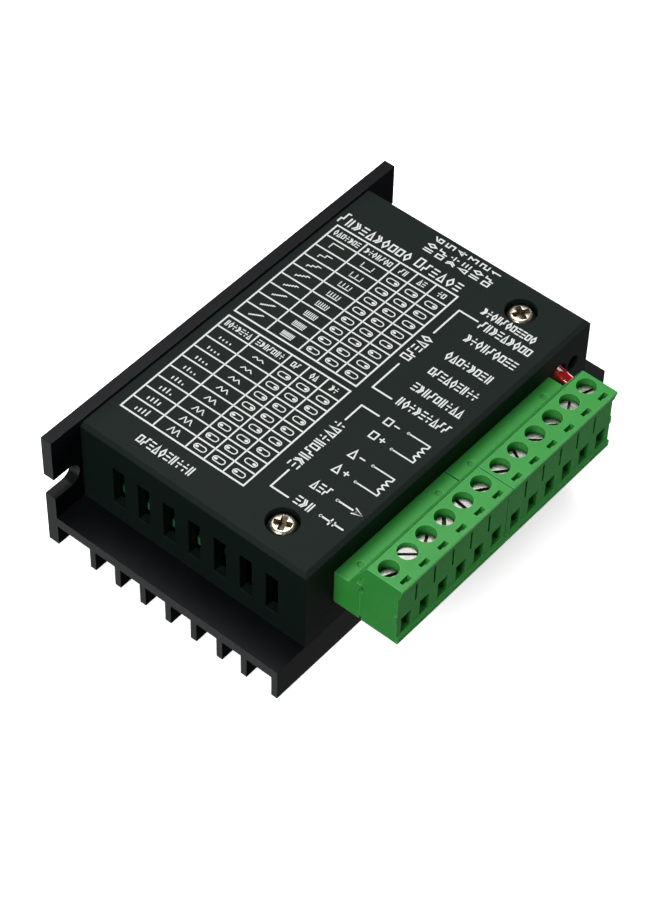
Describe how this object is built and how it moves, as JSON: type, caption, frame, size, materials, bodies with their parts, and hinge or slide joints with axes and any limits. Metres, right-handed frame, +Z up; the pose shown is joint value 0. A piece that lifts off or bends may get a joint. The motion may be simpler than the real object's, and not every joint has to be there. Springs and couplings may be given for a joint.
{
  "type": "stepper driver module",
  "caption": "Finned heatsink with a mounting wall and a dark vented cover, a red light and two pluggable green screw-terminal blocks along one long side.",
  "frame": {"origin": "under the middle of the whole module, plugs included, at the height of the fin tips", "axes": "+X along the module towards the end with the setting switch, -Y towards the screw terminals, +Y towards the mounting wall, +Z up from the fins to the cover"},
  "size_m": [0.096, 0.071, 0.0284],
  "materials": {
    "black_anodised": "black anodised, extruded",
    "cover_plastic": "fine-grained dark moulded plastic",
    "plated_steel": "nickel plated",
    "board_green": "solder mask",
    "brass": "turned",
    "pad_grey": "soft heat pad",
    "chip_black": "moulded epoxy",
    "capacitor_can": "can with a printed sleeve",
    "ceramic_tan": "fired ceramic",
    "terminal_green": "semi-gloss moulded polyamide",
    "tinned_copper": "tin plated",
    "lamp_red": "tinted clear epoxy",
    "lamp_green": "tinted clear epoxy",
    "switch_red": "moulded",
    "slider_white": "moulded"
  },
  "bodies": {
    "root": {"heatsink": "black_anodised", "cover": "cover_plastic", "cover_screws": "plated_steel", "circuit_board": "board_green", "board_spacers": "brass", "board_screws": "plated_steel", "thermal_pad": "pad_grey", "driver_chip": "chip_black", "bulk_capacitors": "capacitor_can", "ceramic_capacitors": "ceramic_tan", "optocouplers": "chip_black", "voltage_regulator": "chip_black", "logic_chip": "chip_black", "protection_diodes": "chip_black", "sense_resistors": "chip_black", "chip_resistors": "chip_black", "power_header": "terminal_green", "signal_header": "terminal_green", "power_header_pins": "tinned_copper", "signal_header_pins": "tinned_copper", "alarm_led": "lamp_red", "power_led": "lamp_green", "dip_switch_body": "switch_red", "dip_switch_contacts": "tinned_copper"},
    "power_plug": {"power_plug": "terminal_green", "power_plug_contacts": "tinned_copper"},
    "signal_plug": {"signal_plug": "terminal_green", "signal_plug_contacts": "tinned_copper"},
    "dip_slider_1": {"dip_slider_1": "slider_white"},
    "dip_slider_2": {"dip_slider_2": "slider_white"},
    "dip_slider_3": {"dip_slider_3": "slider_white"},
    "dip_slider_4": {"dip_slider_4": "slider_white"},
    "dip_slider_5": {"dip_slider_5": "slider_white"},
    "dip_slider_6": {"dip_slider_6": "slider_white"},
    "terminal_screw_01": {"terminal_screw_01": "plated_steel"},
    "terminal_screw_02": {"terminal_screw_02": "plated_steel"},
    "terminal_screw_03": {"terminal_screw_03": "plated_steel"},
    "terminal_screw_04": {"terminal_screw_04": "plated_steel"},
    "terminal_screw_05": {"terminal_screw_05": "plated_steel"},
    "terminal_screw_06": {"terminal_screw_06": "plated_steel"},
    "terminal_screw_07": {"terminal_screw_07": "plated_steel"},
    "terminal_screw_08": {"terminal_screw_08": "plated_steel"},
    "terminal_screw_09": {"terminal_screw_09": "plated_steel"},
    "terminal_screw_10": {"terminal_screw_10": "plated_steel"},
    "terminal_screw_11": {"terminal_screw_11": "plated_steel"},
    "terminal_screw_12": {"terminal_screw_12": "plated_steel"},
    "wire_clamp_01": {"wire_clamp_01": "tinned_copper"},
    "wire_clamp_02": {"wire_clamp_02": "tinned_copper"},
    "wire_clamp_03": {"wire_clamp_03": "tinned_copper"},
    "wire_clamp_04": {"wire_clamp_04": "tinned_copper"},
    "wire_clamp_05": {"wire_clamp_05": "tinned_copper"},
    "wire_clamp_06": {"wire_clamp_06": "tinned_copper"},
    "wire_clamp_07": {"wire_clamp_07": "tinned_copper"},
    "wire_clamp_08": {"wire_clamp_08": "tinned_copper"},
    "wire_clamp_09": {"wire_clamp_09": "tinned_copper"},
    "wire_clamp_10": {"wire_clamp_10": "tinned_copper"},
    "wire_clamp_11": {"wire_clamp_11": "tinned_copper"},
    "wire_clamp_12": {"wire_clamp_12": "tinned_copper"}
  },
  "joints": [
    {"name": "power_plug_pull", "type": "slide", "parent": "root", "child": "power_plug", "axis": [0, -1, 0], "range_m": [0, 0.012]},
    {"name": "signal_plug_pull", "type": "slide", "parent": "root", "child": "signal_plug", "axis": [0, -1, 0], "range_m": [0, 0.012]},
    {"name": "terminal_screw_01_turn", "type": "hinge", "parent": "power_plug", "child": "terminal_screw_01", "pos_m": [-0.03033, -0.0303, 0.0254], "axis": [0, 0, -1], "range_deg": [0, 1800]},
    {"name": "terminal_screw_02_turn", "type": "hinge", "parent": "power_plug", "child": "terminal_screw_02", "pos_m": [-0.02525, -0.0303, 0.0254], "axis": [0, 0, -1], "range_deg": [0, 1800]},
    {"name": "terminal_screw_03_turn", "type": "hinge", "parent": "power_plug", "child": "terminal_screw_03", "pos_m": [-0.02017, -0.0303, 0.0254], "axis": [0, 0, -1], "range_deg": [0, 1800]},
    {"name": "terminal_screw_04_turn", "type": "hinge", "parent": "power_plug", "child": "terminal_screw_04", "pos_m": [-0.01509, -0.0303, 0.0254], "axis": [0, 0, -1], "range_deg": [0, 1800]},
    {"name": "terminal_screw_05_turn", "type": "hinge", "parent": "power_plug", "child": "terminal_screw_05", "pos_m": [-0.01001, -0.0303, 0.0254], "axis": [0, 0, -1], "range_deg": [0, 1800]},
    {"name": "terminal_screw_06_turn", "type": "hinge", "parent": "power_plug", "child": "terminal_screw_06", "pos_m": [-0.00493, -0.0303, 0.0254], "axis": [0, 0, -1], "range_deg": [0, 1800]},
    {"name": "terminal_screw_07_turn", "type": "hinge", "parent": "signal_plug", "child": "terminal_screw_07", "pos_m": [0.00053, -0.0303, 0.0254], "axis": [0, 0, -1], "range_deg": [0, 1800]},
    {"name": "terminal_screw_08_turn", "type": "hinge", "parent": "signal_plug", "child": "terminal_screw_08", "pos_m": [0.00561, -0.0303, 0.0254], "axis": [0, 0, -1], "range_deg": [0, 1800]},
    {"name": "terminal_screw_09_turn", "type": "hinge", "parent": "signal_plug", "child": "terminal_screw_09", "pos_m": [0.01069, -0.0303, 0.0254], "axis": [0, 0, -1], "range_deg": [0, 1800]},
    {"name": "terminal_screw_10_turn", "type": "hinge", "parent": "signal_plug", "child": "terminal_screw_10", "pos_m": [0.01577, -0.0303, 0.0254], "axis": [0, 0, -1], "range_deg": [0, 1800]},
    {"name": "terminal_screw_11_turn", "type": "hinge", "parent": "signal_plug", "child": "terminal_screw_11", "pos_m": [0.02085, -0.0303, 0.0254], "axis": [0, 0, -1], "range_deg": [0, 1800]},
    {"name": "terminal_screw_12_turn", "type": "hinge", "parent": "signal_plug", "child": "terminal_screw_12", "pos_m": [0.02593, -0.0303, 0.0254], "axis": [0, 0, -1], "range_deg": [0, 1800]},
    {"name": "wire_clamp_01_lift", "type": "slide", "parent": "power_plug", "child": "wire_clamp_01", "axis": [0, 0, 1], "range_m": [0, 0.0025]},
    {"name": "wire_clamp_02_lift", "type": "slide", "parent": "power_plug", "child": "wire_clamp_02", "axis": [0, 0, 1], "range_m": [0, 0.0025]},
    {"name": "wire_clamp_03_lift", "type": "slide", "parent": "power_plug", "child": "wire_clamp_03", "axis": [0, 0, 1], "range_m": [0, 0.0025]},
    {"name": "wire_clamp_04_lift", "type": "slide", "parent": "power_plug", "child": "wire_clamp_04", "axis": [0, 0, 1], "range_m": [0, 0.0025]},
    {"name": "wire_clamp_05_lift", "type": "slide", "parent": "power_plug", "child": "wire_clamp_05", "axis": [0, 0, 1], "range_m": [0, 0.0025]},
    {"name": "wire_clamp_06_lift", "type": "slide", "parent": "power_plug", "child": "wire_clamp_06", "axis": [0, 0, 1], "range_m": [0, 0.0025]},
    {"name": "wire_clamp_07_lift", "type": "slide", "parent": "signal_plug", "child": "wire_clamp_07", "axis": [0, 0, 1], "range_m": [0, 0.0025]},
    {"name": "wire_clamp_08_lift", "type": "slide", "parent": "signal_plug", "child": "wire_clamp_08", "axis": [0, 0, 1], "range_m": [0, 0.0025]},
    {"name": "wire_clamp_09_lift", "type": "slide", "parent": "signal_plug", "child": "wire_clamp_09", "axis": [0, 0, 1], "range_m": [0, 0.0025]},
    {"name": "wire_clamp_10_lift", "type": "slide", "parent": "signal_plug", "child": "wire_clamp_10", "axis": [0, 0, 1], "range_m": [0, 0.0025]},
    {"name": "wire_clamp_11_lift", "type": "slide", "parent": "signal_plug", "child": "wire_clamp_11", "axis": [0, 0, 1], "range_m": [0, 0.0025]},
    {"name": "wire_clamp_12_lift", "type": "slide", "parent": "signal_plug", "child": "wire_clamp_12", "axis": [0, 0, 1], "range_m": [0, 0.0025]},
    {"name": "dip_slider_1_slide", "type": "slide", "parent": "root", "child": "dip_slider_1", "axis": [0, 0, 1], "range_m": [0, 0.0018]},
    {"name": "dip_slider_2_slide", "type": "slide", "parent": "root", "child": "dip_slider_2", "axis": [0, 0, 1], "range_m": [0, 0.0018]},
    {"name": "dip_slider_3_slide", "type": "slide", "parent": "root", "child": "dip_slider_3", "axis": [0, 0, 1], "range_m": [0, 0.0018]},
    {"name": "dip_slider_4_slide", "type": "slide", "parent": "root", "child": "dip_slider_4", "axis": [0, 0, 1], "range_m": [0, 0.0018]},
    {"name": "dip_slider_5_slide", "type": "slide", "parent": "root", "child": "dip_slider_5", "axis": [0, 0, 1], "range_m": [0, 0.0018]},
    {"name": "dip_slider_6_slide", "type": "slide", "parent": "root", "child": "dip_slider_6", "axis": [0, 0, 1], "range_m": [0, 0.0018]}
  ],
  "couplings": [
    {"joint": "terminal_screw_01_turn", "follows": "wire_clamp_01_lift", "rad_per_m": 12566},
    {"joint": "terminal_screw_02_turn", "follows": "wire_clamp_02_lift", "rad_per_m": 12566},
    {"joint": "terminal_screw_03_turn", "follows": "wire_clamp_03_lift", "rad_per_m": 12566},
    {"joint": "terminal_screw_04_turn", "follows": "wire_clamp_04_lift", "rad_per_m": 12566},
    {"joint": "terminal_screw_05_turn", "follows": "wire_clamp_05_lift", "rad_per_m": 12566},
    {"joint": "terminal_screw_06_turn", "follows": "wire_clamp_06_lift", "rad_per_m": 12566},
    {"joint": "terminal_screw_07_turn", "follows": "wire_clamp_07_lift", "rad_per_m": 12566},
    {"joint": "terminal_screw_08_turn", "follows": "wire_clamp_08_lift", "rad_per_m": 12566},
    {"joint": "terminal_screw_09_turn", "follows": "wire_clamp_09_lift", "rad_per_m": 12566},
    {"joint": "terminal_screw_10_turn", "follows": "wire_clamp_10_lift", "rad_per_m": 12566},
    {"joint": "terminal_screw_11_turn", "follows": "wire_clamp_11_lift", "rad_per_m": 12566},
    {"joint": "terminal_screw_12_turn", "follows": "wire_clamp_12_lift", "rad_per_m": 12566}
  ]
}
